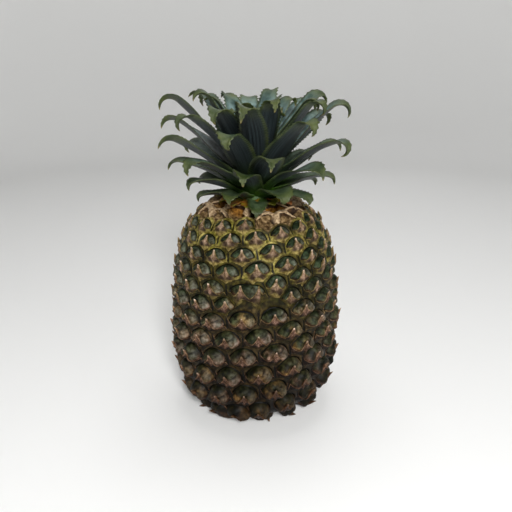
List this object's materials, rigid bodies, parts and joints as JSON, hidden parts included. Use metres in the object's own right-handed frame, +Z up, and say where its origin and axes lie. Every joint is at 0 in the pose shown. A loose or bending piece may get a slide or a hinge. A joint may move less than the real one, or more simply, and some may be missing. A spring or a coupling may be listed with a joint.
{
  "type": "whole pineapple",
  "caption": "Whole unpeeled pineapple standing upright, with spiralling spiny eyes, a dry papery collar and a crown of arching saw-edged leaves.",
  "frame": {"origin": "middle of the flat foot that the fruit stands on", "axes": "+Z up along the core towards the crown, -Y towards the front that the picture shows"},
  "size_m": [0.1386, 0.1373, 0.2477],
  "materials": {
    "rind": "waxy fruit skin, grey-green domes and tan bracts in olive grooves",
    "leaf": "waxy leaf with a grey bloom"
  },
  "bodies": {
    "root": {"fruit": "rind", "crown": "leaf"}
  },
  "joints": []
}
